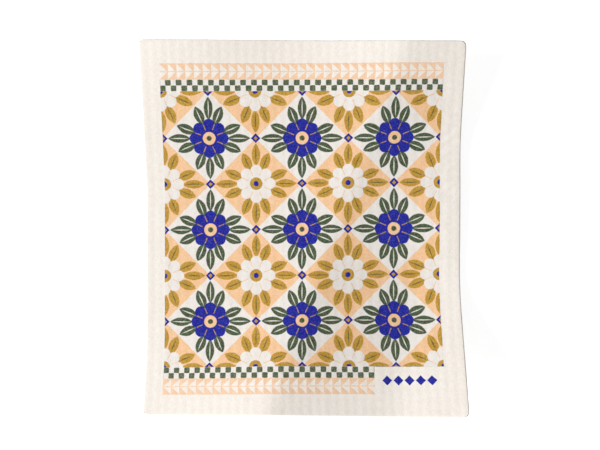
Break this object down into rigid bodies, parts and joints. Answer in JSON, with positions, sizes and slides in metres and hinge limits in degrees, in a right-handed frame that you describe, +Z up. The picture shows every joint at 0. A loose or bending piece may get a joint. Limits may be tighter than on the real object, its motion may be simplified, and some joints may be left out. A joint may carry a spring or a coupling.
{
  "type": "sponge cloth",
  "caption": "Flat rectangular sponge cloth with a waffle embossed face and printed pattern, its ends curled up as it dried.",
  "frame": {"origin": "middle of the box in X and Y, on the surface that the cloth lies on", "axes": "+Y along the cloth towards its top edge, +X across it to the right of the print, +Z up from its printed face"},
  "size_m": [0.17, 0.1964, 0.0235],
  "materials": {
    "sponge": "matte, fibrous, printed on its face"
  },
  "bodies": {
    "root": {"sponge_cloth": "sponge"}
  },
  "joints": []
}
